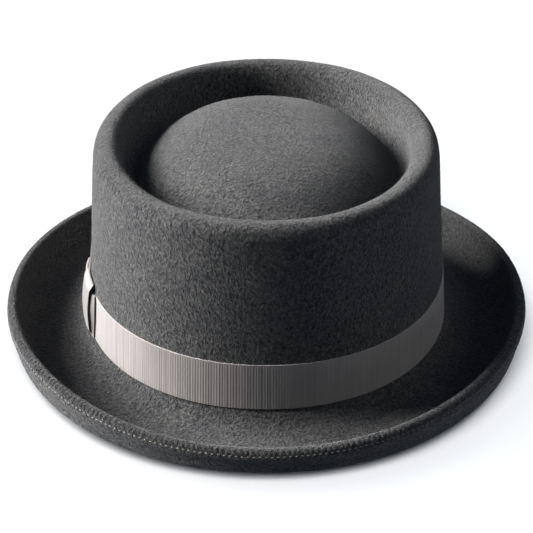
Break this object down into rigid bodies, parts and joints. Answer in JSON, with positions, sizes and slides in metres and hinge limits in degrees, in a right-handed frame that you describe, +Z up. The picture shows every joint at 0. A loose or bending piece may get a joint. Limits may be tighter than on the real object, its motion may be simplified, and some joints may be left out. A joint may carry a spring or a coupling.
{
  "type": "pork pie hat",
  "caption": "Pork pie hat in blocked wool felt: rolled flat crown with a low dome, short curled stitched brim, ribbon band with side bow, leather sweatband and lining.",
  "frame": {"origin": "on the plane that the brim rests on, under the middle of the brim", "axes": "+Z up through the crown, +Y towards the front of the hat, -X towards the bow, on the wearer's left"},
  "size_m": [0.2568, 0.2896, 0.1003],
  "materials": {
    "felt": "matt charcoal wool felt",
    "ribbon": "taupe grosgrain, soft sheen",
    "thread": "beige twisted sewing thread",
    "leather": "dark brown smooth sheepskin",
    "tape": "dark woven tape",
    "satin": "grey satin",
    "tag": "plain woven label, blank",
    "reed_plastic": "translucent cord",
    "spring_steel": "drawn wire"
  },
  "bodies": {
    "root": {"felt_body": "felt", "brim_wire": "spring_steel", "brim_stitching": "thread", "hat_band": "ribbon", "bow_under_leaf": "ribbon", "bow_over_leaf": "ribbon", "bow_knot": "ribbon", "sweatband": "leather", "sweatband_reed": "reed_plastic", "reed_tape": "tape", "sweatband_stitching": "thread", "sweatband_joint_tape": "tape", "sweatband_bow": "tape", "size_tag": "tag", "lining_side": "satin", "lining_piping": "satin", "lining_tip": "satin"}
  },
  "joints": []
}
